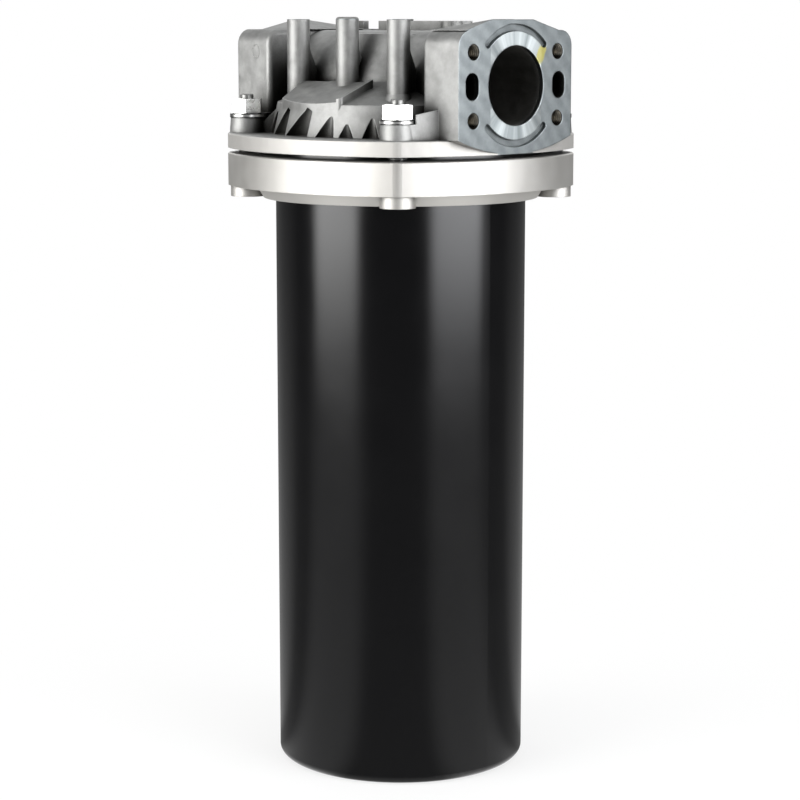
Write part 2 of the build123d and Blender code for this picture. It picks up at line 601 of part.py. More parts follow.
def head() -> Part:
    """The one-piece cast and machined head."""
    casting = dome() + front_pad() - scallops()
    casting += flange() + corner_ridges()
    casting += port_block(OUTLET_ROOF_Y) + mirror(port_block(INLET_ROOF_Y), about=Plane.YZ)
    casting += bosses()
    casting += body()
    web = both_ends(gusset())
    casting += web + mirror(web, about=Plane.XZ)
    casting += back_rail()
    casting += disc(PILOT_R, PILOT_Z, FLANGE_Z) + disc(SPIGOT_R, SPIGOT_Z, FLANGE_Z)
    casting -= head_inside()
    casting -= both_ends(port_cuts())
    beyond = Pos(PORT_X, 0, FLANGE_Z - LAP) * Box(PAST, 2 * SIDE_REACH, FLANGE_T + 2 * LAP,
                                                  align=(Align.MIN, Align.CENTER, Align.MIN))
    casting -= both_ends(beyond)
    tap = disc(BOSS_TAP_D / 2, BLOCK_TOP - BOSS_TAP_DEPTH, BLOCK_TOP + LAP)
    for x, y in CORNERS:
        casting -= Pos(x * BOSS_X, y * BOSS_Y, 0) * tap
    casting -= indicator_hole(PLUG_THREAD_D / 2, 0)
    return casting - at_studs(disc(WASHER_OD / 2 + SPOT_FACE_CLEAR, LUG_TOP, STUD_TOP))


# Indicator plug
def indicator_hole(radius: float, proud: float) -> Part:
    """The plug's threaded length in the indicator block, from its back face inwards."""
    section = Pos(INDICATOR_X, INDICATOR_Z) * Circle(radius)
    return along_y(section, INDICATOR_Y - PLUG_THREAD_L, PLUG_THREAD_L + proud)


def indicator_seal() -> Part:
    """Flat sealing ring under the plug's head."""
    section = Pos(INDICATOR_X, INDICATOR_Z) * (Circle(PLUG_HEAD_D / 2) - Circle(PLUG_THREAD_D / 2))
    return along_y(section, INDICATOR_Y, PLUG_SEAL_T)


def indicator_plug() -> Part:
    """Blanking plug with a hexagon socket, where a clogging indicator can be fitted."""
    place = Pos(INDICATOR_X, INDICATOR_Z)
    top = INDICATOR_Y + PLUG_SEAL_T + PLUG_HEAD_H
    plug = indicator_hole(PLUG_THREAD_D / 2, PLUG_SEAL_T)
    plug += along_y(place * Circle(PLUG_HEAD_D / 2), top - PLUG_HEAD_H, PLUG_HEAD_H)
    socket = place * RegularPolygon(PLUG_SOCKET_FLATS / math.sqrt(3), 6)
    return plug - along_y(socket, top - PLUG_SOCKET_DEPTH, PLUG_SOCKET_DEPTH + LAP)


# Filter element
def element_top_cap() -> Part:
    """Upper end cap, whose hub seals on the head's spigot."""
    hub_low = CAP_TOP - CAP_HUB_H
    cap = turned([(CAP_BORE_R, hub_low), (CAP_HUB_R, hub_low), (CAP_HUB_R, CAP_UNDER),
                  (ELEMENT_R - CAP_SKIRT_T, CAP_UNDER), (ELEMENT_R - CAP_SKIRT_T, CAP_TOP - CAP_SKIRT_H),
                  (ELEMENT_R, CAP_TOP - CAP_SKIRT_H), (ELEMENT_R, CAP_TOP), (CAP_BORE_R, CAP_TOP)])
    middle = CAP_TOP - NECK_SEAL_DOWN
    return cap - annulus(CAP_BORE_R - LAP, CAP_BORE_R + SEAL_GROOVE_DEPTH, middle - SEAL_GROOVE_W / 2,
                         middle + SEAL_GROOVE_W / 2)


def element_bottom_cap() -> Part:
    """Lower end cap with the bypass seat bored through it."""
    skirt_top = FLOOR_CAP_Z + CAP_SKIRT_H
    return turned([(SEAT_BORE / 2, FLOOR_CAP_Z), (ELEMENT_R, FLOOR_CAP_Z), (ELEMENT_R, skirt_top),
                   (ELEMENT_R - CAP_SKIRT_T, skirt_top), (ELEMENT_R - CAP_SKIRT_T, FLOOR_CAP_TOP),
                   (SEAT_BORE / 2, FLOOR_CAP_TOP)])


def element_core() -> Part:
    """Perforated support tube inside the pleats."""
    tube = annulus(CORE_IR, CORE_OR, FLOOR_CAP_TOP, CAP_UNDER)
    row_gap = (CAP_TOP - CAP_HUB_H - CAGE_TOP) / CORE_HOLE_ROWS
    drill = Rot(0, 90, 0) * Cylinder(CORE_HOLE_D / 2, CORE_OR + LAP, align=UP)
    cuts = []
    for row in range(CORE_HOLE_ROWS):
        height = CAGE_TOP + (row + 0.5) * row_gap
        for step in range(CORE_HOLES_AROUND):
            angle = (step + (row % 2) / 2) * 360 / CORE_HOLES_AROUND
            cuts.append(Pos(0, 0, height) * Rot(0, 0, angle) * drill)
    return tube - cuts


def element_medium() -> Part:
    """Pleated filter medium, one closed zigzag band."""
    step = 180.0 / MEDIUM_PLEATS
    outer, inner = [], []
    for index in range(2 * MEDIUM_PLEATS):
        angle = math.radians(index * step)
        tip = index % 2 == 0
        far = MEDIUM_OR if tip else MEDIUM_IR + MEDIUM_PLY
        near = MEDIUM_OR - 2 * MEDIUM_PLY if tip else MEDIUM_IR
        outer.append((far * math.cos(angle), far * math.sin(angle)))
        inner.append((near * math.cos(angle), near * math.sin(angle)))
    band = polygon(*outer) - polygon(*inner)
    return Pos(0, 0, FLOOR_CAP_TOP) * extrude(band, CAP_UNDER - FLOOR_CAP_TOP)


# Bypass valve
def bypass_poppet() -> Part:
    """Valve disc with its guide stem, closed on the lower cap."""
    stem_top = CAGE_TOP + POPPET_STEM_PROUD
    return disc(POPPET_R, FLOOR_CAP_TOP, POPPET_TOP) + disc(POPPET_STEM_D / 2, POPPET_TOP, stem_top)


def bypass_cage() -> Part:
    """Legged cage that guides the stem and holds the spring's upper end."""
    barrel_or = CAGE_IR + CAGE_WALL
    foot = annulus(CAGE_IR, CORE_IR - CAGE_TO_CORE, FLOOR_CAP_TOP, FLOOR_CAP_TOP + CAGE_FOOT_T)
    wall = annulus(CAGE_IR, barrel_or, FLOOR_CAP_TOP, CAGE_TOP)
    spoke = Pos(0, 0, FLOOR_CAP_TOP) * Box(barrel_or, CAGE_LEG_W, CAGE_TOP - FLOOR_CAP_TOP,
                                           align=(Align.MIN, Align.CENTER, Align.MIN))
    spokes = Part() + [Rot(0, 0, 360 * leg / CAGE_LEGS) * spoke for leg in range(CAGE_LEGS)]
    top = disc(barrel_or, CAGE_SEAT_Z, CAGE_TOP)
    guide = disc(POPPET_STEM_D / 2 + POPPET_STEM_CLEAR, CAGE_SEAT_Z - LAP, CAGE_TOP + LAP)
    return foot + (wall & spokes) + top - guide


def main() -> None:
    """Build every piece and write it to its own file."""
    pieces: dict[str, Part] = {
        "head": head(),
        "clamp_ring": clamp_ring(),
        "bowl": bowl(),
        "bowl_seal": flat_seal(PILOT_R - SEAL_GROOVE_DEPTH, TUBE_IR, FLANGE_Z - PILOT_SEAL_DOWN),
        "indicator_plug": indicator_plug(),
        "indicator_seal": indicator_seal(),
        "element_top_cap": element_top_cap(),
        "element_bottom_cap": element_bottom_cap(),
        "element_core": element_core(),
        "element_medium": element_medium(),
        "element_seal": flat_seal(SPIGOT_R, CAP_BORE_R + SEAL_GROOVE_DEPTH, CAP_TOP - NECK_SEAL_DOWN),
        "element_spring": coil(SPRING_WIRE, SPRING_MEAN_D, BOTTOM_THICK, FLOOR_CAP_Z, SPRING_TURNS),
        "bypass_poppet": bypass_poppet(),
        "bypass_spring": coil(BYPASS_WIRE, BYPASS_MEAN_D, POPPET_TOP, CAGE_SEAT_Z, BYPASS_TURNS),
        "bypass_cage": bypass_cage(),
    }
    for number, (x, y) in enumerate(CORNERS, start=1):
        pieces[f"stud_{number}"] = stud(x, y)
        pieces[f"washer_{number}"] = washer(x, y)
        pieces[f"nut_{number}"] = nut(x, y)
    os.makedirs("parts", exist_ok=True)
    for name, piece in pieces.items():
        export_step(piece, f"parts/{name}.step")


main()
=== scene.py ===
"""Looks of a hydraulic filter housing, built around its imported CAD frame.

The CAD nodes keep their shapes and get their finishes here. New pieces stand for what the frame holds
plainly: threaded studs, the threads in the taps, the two springs and the cast marks. Metres, +Z up,
ports along X. Names that end in _mm hold millimetres.
"""

import json
import logging
import math
from dataclasses import dataclass
from enum import Enum

import bmesh
import bpy
from mathutils import Matrix, Vector

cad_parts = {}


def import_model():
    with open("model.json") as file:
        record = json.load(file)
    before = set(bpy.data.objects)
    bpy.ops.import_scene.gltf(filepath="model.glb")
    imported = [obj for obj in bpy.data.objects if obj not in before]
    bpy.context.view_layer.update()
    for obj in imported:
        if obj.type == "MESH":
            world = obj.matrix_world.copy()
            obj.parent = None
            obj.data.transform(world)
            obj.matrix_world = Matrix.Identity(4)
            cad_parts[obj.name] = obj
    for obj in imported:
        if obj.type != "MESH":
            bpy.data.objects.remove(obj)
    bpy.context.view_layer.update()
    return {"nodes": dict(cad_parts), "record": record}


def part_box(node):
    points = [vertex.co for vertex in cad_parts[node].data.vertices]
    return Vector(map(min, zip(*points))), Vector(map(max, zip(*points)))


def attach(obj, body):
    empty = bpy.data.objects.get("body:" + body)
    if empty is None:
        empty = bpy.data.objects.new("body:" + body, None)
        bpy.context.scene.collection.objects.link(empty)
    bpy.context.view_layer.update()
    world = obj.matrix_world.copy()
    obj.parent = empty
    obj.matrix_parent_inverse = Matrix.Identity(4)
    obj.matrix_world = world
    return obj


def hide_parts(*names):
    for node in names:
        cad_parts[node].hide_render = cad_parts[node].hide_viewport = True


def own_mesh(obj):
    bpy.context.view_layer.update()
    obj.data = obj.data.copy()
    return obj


FRAME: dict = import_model()
LOG: logging.Logger = logging.getLogger("filter_housing")

MM: float = 0.001
TAU: float = 2 * math.pi
BODY: str = "housing"
# Near-black for painted shade in crevices, and for the washers' dark joints with their painted shade.
DARK_JOINT_AND_SHADE: str = "#0c0b0a"
WHITE: str = "#ffffff"

# Places on the head, in mm
PORT_FACE_X: float = 106.3
PORT_Z: float = 462.0
PORT_TAP_Y: float = 38.9
PORT_TAP_RISE: float = 21.45
PORT_TAP_R: float = 5.1
BOSS_X: float = 48.2
BOSS_Y: float = 48.4
BOSS_TOP_Z: float = 503.8
BOSS_TAP_R: float = 3.4

Tree = bpy.types.NodeTree
Node = bpy.types.Node
Source = bpy.types.Node | bpy.types.NodeSocket
Material = bpy.types.Material
BMesh = bmesh.types.BMesh


class Slot(Enum):
    """Material slots of the record."""

    CAST = "cast_aluminium"
    TURNED = "turned_aluminium"
    PAINT = "black_paint"
    ZINC = "zinc_steel"
    TINNED = "tinned_steel"
    SPRING = "spring_steel"
    RUBBER = "nitrile"
    MEDIUM = "glass_fibre_medium"


class Side(Enum):
    """The two port faces, by their direction along X."""

    OUTLET = 1
    INLET = -1


# Node and mesh helpers
def linear(code: str) -> tuple[float, float, float, float]:
    """Turns an sRGB hex colour into the linear colour that a shader takes.

    Args:
        code: Six hex digits with a leading hash sign.

    Returns:
        Red, green, blue and a full alpha.
    """
    parts = [int(code[i:i + 2], 16) / 255 for i in (1, 3, 5)]
    red, green, blue = (p / 12.92 if p <= 0.04045 else ((p + 0.055) / 1.055) ** 2.4 for p in parts)
    return red, green, blue, 1.0


def add(tree: Tree, kind: str, inputs: dict | None = None, **settings: object) -> Node:
    """Adds one node with its settings and its links.

    Args:
        tree: The node tree that gets the node.
        kind: The node's type, without the ShaderNode prefix.
        inputs: Input name or index to what feeds it: a value, a hex colour, an output socket, or a node,
            which gives its first output.
        **settings: Properties of the node.

    Returns:
        The new node.
    """
    node = tree.nodes.new("ShaderNode" + kind)
    for name, value in settings.items():
        setattr(node, name, value)
    for name, value in (inputs or {}).items():
        source = value.outputs[0] if isinstance(value, bpy.types.Node) else value
        if isinstance(source, bpy.types.NodeSocket):
            tree.links.new(source, node.inputs[name])
        else:
            node.inputs[name].default_value = linear(source) if isinstance(source, str) else source
    return node


def within(tree: Tree, *bands: tuple[Source, float | None, float | None]) -> Node:
    """Marks where every length lies inside its band.

    Args:
        tree: The node tree that gets the mask.
        *bands: A length's output, with the least and the most that it may be, in mm, or None for no limit.

    Returns:
        A node that gives 1 inside all the bands and 0 outside.
    """
    mask = None
    for length, low, high in bands:
        for limit, operation in ((low, "GREATER_THAN"), (high, "LESS_THAN")):
            if limit is not None:
                side = add(tree, "Math", {0: length, 1: limit * MM}, operation=operation)
                mask = side if mask is None else add(tree, "Math", {0: mask, 1: side}, operation="MULTIPLY")
    return mask


def new_material(name: str) -> tuple[Material, Tree]:
    """Makes an empty node material.

    Args:
        name: The finish's plain name.

    Returns:
        The material and its cleared node tree.
    """
    material = bpy.data.materials.new(name)
    material.use_nodes = True
    material.node_tree.nodes.clear()
    return material, material.node_tree


def piece_from(bm: BMesh, name: str, material: Material, slot: Slot, sharp: float = 35.0) -> bpy.types.Object:
    """Turns a finished bmesh into a piece of the scene that rides on the housing.

    Args:
        bm: The mesh in the row frame. It is freed here.
        name: The piece's name.
        material: Its finish.
        slot: The record's slot for that finish. It is not used.
        sharp: Edges that turn by more than this many degrees stay crisp.

    Returns:
        The new object.
    """
    bmesh.ops.remove_doubles(bm, verts=bm.verts, dist=1e-7)
    bmesh.ops.recalc_face_normals(bm, faces=bm.faces)
    for face in bm.faces:
        face.smooth = True
    for edge in bm.edges:
        edge.smooth = edge.calc_face_angle(0.0) < math.radians(sharp)
    mesh = bpy.data.meshes.new(name)
    bm.to_mesh(mesh)
    bm.free()
    mesh.materials.append(material)
    obj = bpy.data.objects.new(name, mesh)
    bpy.context.scene.collection.objects.link(obj)
    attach(obj, BODY)
    LOG.info("piece %s: %d faces", name, len(mesh.polygons))
    return obj


def spun(bm: BMesh, profile: list[tuple[float, float]], steps: int, closed: bool, place: Matrix) -> None:
    """Adds a full turning about Z to a bmesh.

    Args:
        bm: The mesh that gets the turning.
        profile: (radius, height) points. One that isn't closed starts and ends on the axis.
        steps: Segments round the axis.
        closed: Joins the last point to the first, as in a ring.
        place: Where the turning goes afterwards.
    """
    before = set(bm.verts)
    verts = [bm.verts.new((radius, 0.0, height)) for radius, height in profile]
    pairs = list(zip(verts, verts[1:]))
    if closed:
        pairs.append((verts[-1], verts[0]))
    edges = [bm.edges.new(pair) for pair in pairs]
    bmesh.ops.spin(bm, geom=verts + edges, cent=(0, 0, 0), axis=(0, 0, 1), angle=TAU, steps=steps,
                   use_merge=True, use_duplicate=False)
    bmesh.ops.transform(bm, matrix=place, verts=[v for v in bm.verts if v not in before])


# Finishes
@dataclass(frozen=True)
class Finish:
    """A plain finish: one colour that varies a little, with a fine grain in its surface and painted shade in
    its crevices.

    Metals keep the default IOR. A grain under about half a millimetre wouldn't show, so it is drawn
    coarser than it is.
    """

    name: str
    slot: Slot
    light: str
    dark: str
    metallic: float = 1.0
    roughness: float = 0.35
    spread: float = 0.06
    mottle_mm: float = 8.0
    mottle_range: tuple[float, float] = (0.3, 0.7)
    grain_mm: float = 0.6
    grain_depth_mm: float = 0.02
    edge_mm: float = 0.4
    edge_samples: int = 4
    crevice_mm: float = 3.0
    crevice: float = 0.5
    crevice_range: tuple[float, float] = (0.4, 0.92)
    hollow_samples: int = 8

    def in_crevices(self, tree: Tree, colour: Source) -> Node:
        """Paints shade into a colour where faces meet and little light reaches.

        Args:
            tree: The material's nodes.
            colour: The colour of the open surface.

        Returns:
            The colour with painted shade in its crevices.
        """
        # Painted shade: occlusion darkens the crevices towards near-black.
        hollow = add(tree, "AmbientOcclusion", {"Distance": self.crevice_mm * MM},
                     samples=self.hollow_samples)
        low, high = self.crevice_range
        deep = add(tree, "MapRange", {"Value": hollow.outputs["AO"], "From Min": low, "From Max": high,
                                      "To Min": self.crevice, "To Max": 0.0})
        return add(tree, "MixRGB", {"Fac": deep, "Color1": colour, "Color2": DARK_JOINT_AND_SHADE})

    def rough(self, tree: Tree, mottle: Source) -> Node:
        """Varies the roughness with the mottle.

        Args:
            tree: The material's nodes.
            mottle: The mottle's output.

        Returns:
            The roughness.
        """
        low, high = self.mottle_range
        return add(tree, "MapRange", {"Value": mottle, "From Min": low, "From Max": high,
                                      "To Min": self.roughness - self.spread,
                                      "To Max": self.roughness + self.spread})

    def material(self) -> Material:
        """Builds the finish's nodes.

        Returns:
            The material.
        """
        material, tree = new_material(self.name)
        place = add(tree, "TexCoord").outputs["Object"]
        mottle = add(tree, "TexNoise", {"Vector": place, "Scale": 1 / (self.mottle_mm * MM), "Detail": 4.0})
        grain = add(tree, "TexNoise", {"Vector": place, "Scale": 1 / (self.grain_mm * MM), "Detail": 3.0})
        colour = add(tree, "MixRGB", {"Fac": mottle, "Color1": self.dark, "Color2": self.light})
        soft = add(tree, "Bevel", {"Radius": self.edge_mm * MM}, samples=self.edge_samples)
        bump = add(tree, "Bump", {"Height": grain, "Distance": self.grain_depth_mm * MM, "Strength": 1.0,
                                  "Normal": soft})
        shader = add(tree, "BsdfPrincipled", {"Base Color": self.in_crevices(tree, colour),
                                              "Metallic": self.metallic,
                                              "Roughness": self.rough(tree, mottle), "Normal": bump})
        add(tree, "OutputMaterial", {"Surface": shader})
        return material


@dataclass(frozen=True)
class Jointed(Finish):
    """A flat part's finish with a dark line along its lower and upper edge, where it meets its neighbours: a
    dark joint with painted shade from the parts beside it.
    """

    line: float = 0.2

    def in_crevices(self, tree: Tree, colour: Source) -> Node:
        """Paints shade into the crevices and darkens both edges, as dark joints with painted shade.

        Args:
            tree: The material's nodes.
            colour: The colour of the open surface.

        Returns:
            The colour with its dark lines.
        """
        middle = 0.5
        height = add(tree, "SeparateXYZ", {0: add(tree, "TexCoord").outputs["Generated"]}).outputs["Z"]
        from_middle = add(tree, "Math", {0: height, 1: middle}, operation="SUBTRACT")
        offset = add(tree, "Math", {0: from_middle}, operation="ABSOLUTE")
        # Dark joint lines along both edges, partly painted shade between the parts.
        edge = add(tree, "Math", {0: offset, 1: middle - self.line}, operation="GREATER_THAN")
        shade = add(tree, "Math", {0: edge, 1: self.crevice}, operation="MULTIPLY")
        lined = add(tree, "MixRGB", {"Fac": shade, "Color1": colour, "Color2": DARK_JOINT_AND_SHADE})
        return super().in_crevices(tree, lined)


@dataclass(frozen=True)
class Sunk(Finish):
    """The finish of threads in the taps, with painted shade that turns it black with depth.

    Painted shade also darkens the bottoms of the port taps. Its height is counted anew from each row of taps.
    """

    fade_mm: float = 20.0
    shade: str = "#060504"
    shaded_bottom_mm: tuple[float, float] = (2.2, 4.4)
    shaded_bottom_share: float = 0.95

    def in_crevices(self, tree: Tree, colour: Source) -> Node:
        """Paints shade into the threads by how far they lie behind the port face or under the boss tops, and
        into the bottoms of the port taps.

        Args:
            tree: The material's nodes.
            colour: The colour at the mouth.

        Returns:
            The colour with its painted shade.
        """
        axes = add(tree, "SeparateXYZ", {0: add(tree, "TexCoord").outputs["Object"]}).outputs
        across = add(tree, "Math", {0: axes["X"]}, operation="ABSOLUTE")
        behind, under = (add(tree, "MapRange", {"Value": place, "From Min": (mouth - self.fade_mm) * MM,
                                                "From Max": mouth * MM, "To Min": 1.0, "To Max": 0.0})
                         for place, mouth in ((across, PORT_FACE_X), (axes["Z"], BOSS_TOP_Z)))
        deep = add(tree, "Math", {0: behind, 1: under}, operation="MINIMUM")
        bottom = PORT_Z - PORT_TAP_RISE - PORT_TAP_R
        above = add(tree, "Math", {0: axes["Z"], 1: bottom * MM}, operation="SUBTRACT")
        level = add(tree, "Math", {0: above, 1: 2 * PORT_TAP_RISE * MM}, operation="MODULO")
        low, high = (mm * MM for mm in self.shaded_bottom_mm)
        # Painted shade in the lowest few millimetres of each port tap.
        shaded_bottom = add(tree, "MapRange", {"Value": level, "From Min": low, "From Max": high,
                                     "To Min": self.shaded_bottom_share, "To Max": 0.0})
        dark = add(tree, "Math", {0: deep, 1: shaded_bottom}, operation="MAXIMUM")
        return add(tree, "MixRGB", {"Fac": dark, "Color1": colour, "Color2": self.shade})


@dataclass(frozen=True)
class HeadPoint:
    """Where a shaded point lies on the head, as outputs that the masks share."""

    place: Source
    across: Source
    aside: Source
    height: Source
    from_port: Source
    round_port: Source
    reach: Source

    @classmethod
    def in_tree(cls, tree: Tree) -> "HeadPoint":
        """Builds the outputs in a material.

        Args:
            tree: The material's nodes.

        Returns:
            The point's distances from the middle planes, its height, its offset from the port's axis in the
            port face, the direction round that axis, and its distance from that axis.
        """
        place = add(tree, "TexCoord").outputs["Object"]
        axes = add(tree, "SeparateXYZ", {0: place}).outputs
        rise = add(tree, "Math", {0: axes["Z"], 1: PORT_Z * MM}, operation="SUBTRACT")
        fall = add(tree, "Math", {0: PORT_Z * MM, 1: axes["Z"]}, operation="SUBTRACT")
        from_port = add(tree, "CombineXYZ", {"X": axes["Y"], "Y": rise})
        return cls(place=place,
                   across=add(tree, "Math", {0: axes["X"]}, operation="ABSOLUTE"),
                   aside=add(tree, "Math", {0: axes["Y"]}, operation="ABSOLUTE"),
                   height=axes["Z"],
                   from_port=from_port,
                   round_port=add(tree, "CombineXYZ", {"Y": fall, "Z": axes["Y"]}),
                   reach=add(tree, "VectorMath", {0: from_port}, operation="LENGTH").outputs["Value"])


@dataclass(frozen=True)
class CastAluminium(Finish):
    """Gravity-cast aluminium, shot-blasted, with milled port faces and boss tops.

    The cast skin is dull grey with a sandy grain, faint waves and stains, brighter along its edges with
    wear and a painted highlight, and darker in its pockets with painted shade. Milled places are smoother
    and colder and carry the cutter's arcs. The ring round each bore is turned, so its shine fans out, and
    painted fans of reflection brighten and darken its colour. The grain is drawn about three times too
    coarse and the cutter's arcs much too wide, because the real ones wouldn't show. Each range goes from
    where a mask starts to where it is full.
    """

    edge_samples: int = 6
    wave_mm: float = 9.0
    wave_depth_mm: float = 0.35
    # Painted shade in the pockets between the bosses and the blocks.
    pocket_shade: str = "#23221f"
    pocket_mm: float = 28.0
    pocket_range: tuple[float, float] = (0.3, 0.87)
    # Worn edges, lightened by wear and a painted highlight.
    worn_edge_highlight: str = "#dededb"
    worn_edge_highlight_share: float = 0.5
    worn_edge_highlight_turn: tuple[float, float] = (0.99, 0.85)
    stain: str = "#6d6d6b"
    stain_mm: float = 20.0
    stain_share: float = 0.5
    stain_range: tuple[float, float] = (0.45, 0.72)
    rim: str = "#c4c2be"
    rim_roughness: float = 0.62
    rim_top_mm: float = 428.2
    rim_from_r_mm: float = 97.0
    milled: str = "#abb1b2"
    milled_dark: str = "#6a7072"
    milled_roughness: float = 0.36
    milled_pocket_share: float = 0.45
    milled_from_x_mm: float = PORT_FACE_X - 0.2
    milled_z_mm: tuple[float, float] = (BOSS_TOP_Z - 0.2, BOSS_TOP_Z + 0.2)
    groove_r_mm: float = 40.0
    groove_from_x_mm: float = 102.8
    arcs_mm: float = 32.0
    arcs_middle: tuple[float, float, float] = (0.0, 0.16, -0.3)
    cloud_mm: float = 9.0
    cloud_share: float = 0.8
    # Turned ring colours, between which the painted fans of reflection vary.
    turned: str = "#d2d8d8"
    turned_dark: str = "#767d7e"
    turned_streaks: float = 2.6
    turned_range: tuple[float, float] = (0.35, 0.7)
    turned_anisotropy: float = 0.6
    turned_r_mm: float = 34.4
    turned_y_mm: float = 23.5
    # Oily brown with painted shade, deepening into each bore.
    bore: str = "#3a3426"
    bore_share: float = 0.55
    bore_r_mm: float = 26.0
    bore_x_mm: tuple[float, float] = (99.0, 105.8)
    mark: str = "#c4bb62"
    mark_share: float = 0.8
    mark_at_mm: tuple[float, float, float] = (PORT_FACE_X, 22.9, 481.6)
    mark_size_mm: tuple[float, float, float] = (2.0, 3.9, 7.2)
    mark_turn: float = -24.0
    mark_ragged: float = 0.8
    mark_range: tuple[float, float] = (1.15, 1.5)

    def material(self) -> Material:
        """Builds the finish's nodes.

        Returns:
            The material.
        """
        material, tree = new_material(self.name)
        point = HeadPoint.in_tree(tree)
        mottle = add(tree, "TexNoise", {"Vector": point.place, "Scale": 1 / (self.mottle_mm * MM),
                                        "Detail": 5.0, "Roughness": 0.6})
        grain = add(tree, "TexNoise", {"Vector": point.place, "Scale": 1 / (self.grain_mm * MM),
                                       "Detail": 3.0})
        wave = add(tree, "TexNoise", {"Vector": point.place, "Scale": 1 / (self.wave_mm * MM), "Detail": 1.0})
        soft = add(tree, "Bevel", {"Radius": self.edge_mm * MM}, samples=self.edge_samples)
        milled = self.milled_mask(tree, point)
        rim = self.rim_mask(tree, point)
        ring = self.ring_mask(tree, point)

        colour = add(tree, "MixRGB", {"Fac": mottle, "Color1": self.dark, "Color2": self.light})
        # Painted fans of reflection on the turned ring.
        painted_fan_colour = add(tree, "MixRGB", {"Fac": self.painted_fans(tree, point), "Color1": self.turned_dark,
                                             "Color2": self.turned})
        cut = add(tree, "MixRGB", {"Fac": self.cutter_arcs(tree, point), "Color1": self.milled_dark,
                                   "Color2": self.milled})
        cut = add(tree, "MixRGB", {"Fac": ring, "Color1": cut, "Color2": painted_fan_colour})
        for share, over in ((self.stain_mask(tree, point), self.stain), (rim, self.rim),
                            (self.worn_edge_highlight_mask(tree, soft), self.worn_edge_highlight), (milled, cut),
                            (self.mark_mask(tree, point, mottle), self.mark),
                            (self.pocket_shade_mask(tree, milled), self.pocket_shade),
                            (self.bore_oil_and_shade_mask(tree, point), self.bore)):
            colour = add(tree, "MixRGB", {"Fac": share, "Color1": colour, "Color2": over})

        rough_skin = add(tree, "Mix", {0: rim, 2: self.rough(tree, mottle), 3: self.rim_roughness})
        rough = add(tree, "Mix", {0: milled, 2: rough_skin, 3: self.milled_roughness})
        height = add(tree, "Math", {0: wave, 1: self.wave_depth_mm / self.grain_depth_mm, 2: grain},
                     operation="MULTIPLY_ADD")
        unmilled = add(tree, "Math", {0: 1.0, 1: milled}, operation="SUBTRACT")
        depth = add(tree, "Math", {0: height, 1: unmilled}, operation="MULTIPLY")
        bump = add(tree, "Bump", {"Height": depth, "Distance": self.grain_depth_mm * MM, "Strength": 1.0,
                                  "Normal": soft})
        fanned = add(tree, "Math", {0: ring, 1: self.turned_anisotropy}, operation="MULTIPLY")
        shader = add(tree, "BsdfPrincipled", {"Base Color": colour, "Metallic": self.metallic,
                                              "Roughness": rough, "Normal": bump, "Anisotropic": fanned,
                                              "Tangent": point.round_port})
        add(tree, "OutputMaterial", {"Surface": shader})
        return material

    def milled_mask(self, tree: Tree, point: HeadPoint) -> Node:
        """Marks the port faces, the grooves in them and the boss tops, by where they lie.

        Args:
            tree: The material's nodes.
            point: The shaded point.

        Returns:
            The mask.
        """
        top = within(tree, (point.height, *self.milled_z_mm))
        groove = within(tree, (point.reach, None, self.groove_r_mm),
                        (point.across, self.groove_from_x_mm, None))
        face = within(tree, (point.across, self.milled_from_x_mm, None))
        recessed = add(tree, "Math", {0: top, 1: groove}, operation="MAXIMUM")
        return add(tree, "Math", {0: recessed, 1: face}, operation="MAXIMUM")

    def ring_mask(self, tree: Tree, point: HeadPoint) -> Node:
        """Marks the turned ring above and below each bore.

        Args:
            tree: The material's nodes.
            point: The shaded point.

        Returns:
            The mask.
        """
        return within(tree, (point.reach, None, self.turned_r_mm), (point.aside, None, self.turned_y_mm),
                      (point.across, self.milled_from_x_mm, None))

    def rim_mask(self, tree: Tree, point: HeadPoint) -> Node:
        """Marks the flange's upright rim, which is blasted brighter than the rest.

        Args:
            tree: The material's nodes.
            point: The shaded point.

        Returns:
            The mask.
        """
        flat = add(tree, "VectorMath", {0: point.place, 1: (1.0, 1.0, 0.0)}, operation="MULTIPLY")
        reach = add(tree, "VectorMath", {0: flat}, operation="LENGTH").outputs["Value"]
        return within(tree, (point.height, None, self.rim_top_mm), (reach, self.rim_from_r_mm, None))

    def stain_mask(self, tree: Tree, point: HeadPoint) -> Node:
        """Marks the cloudy stains that the mould leaves.

        Args:
            tree: The material's nodes.
            point: The shaded point.

        Returns:
            The mask.
        """
        clouds = add(tree, "TexNoise", {"Vector": point.place, "Scale": 1 / (self.stain_mm * MM),
                                        "Detail": 4.0, "Roughness": 0.6})
        low, high = self.stain_range
        return add(tree, "MapRange", {"Value": clouds, "From Min": low, "From Max": high, "To Min": 0.0,
                                      "To Max": self.stain_share})

    def pocket_shade_mask(self, tree: Tree, milled: Source) -> Node:
        """Marks painted shade in the pockets, less of it where they are milled.

        Args:
            tree: The material's nodes.
            milled: The mask of what is milled.

        Returns:
            The mask.
        """
        hollow = add(tree, "AmbientOcclusion", {"Distance": self.pocket_mm * MM}, samples=self.hollow_samples)
        low, high = self.pocket_range
        deep = add(tree, "MapRange", {"Value": hollow.outputs["AO"], "From Min": low, "From Max": high,
                                      "To Min": 1.0, "To Max": 0.0})
        share = add(tree, "MapRange", {"Value": milled, "To Min": 1.0, "To Max": self.milled_pocket_share})
        return add(tree, "Math", {0: deep, 1: share}, operation="MULTIPLY")

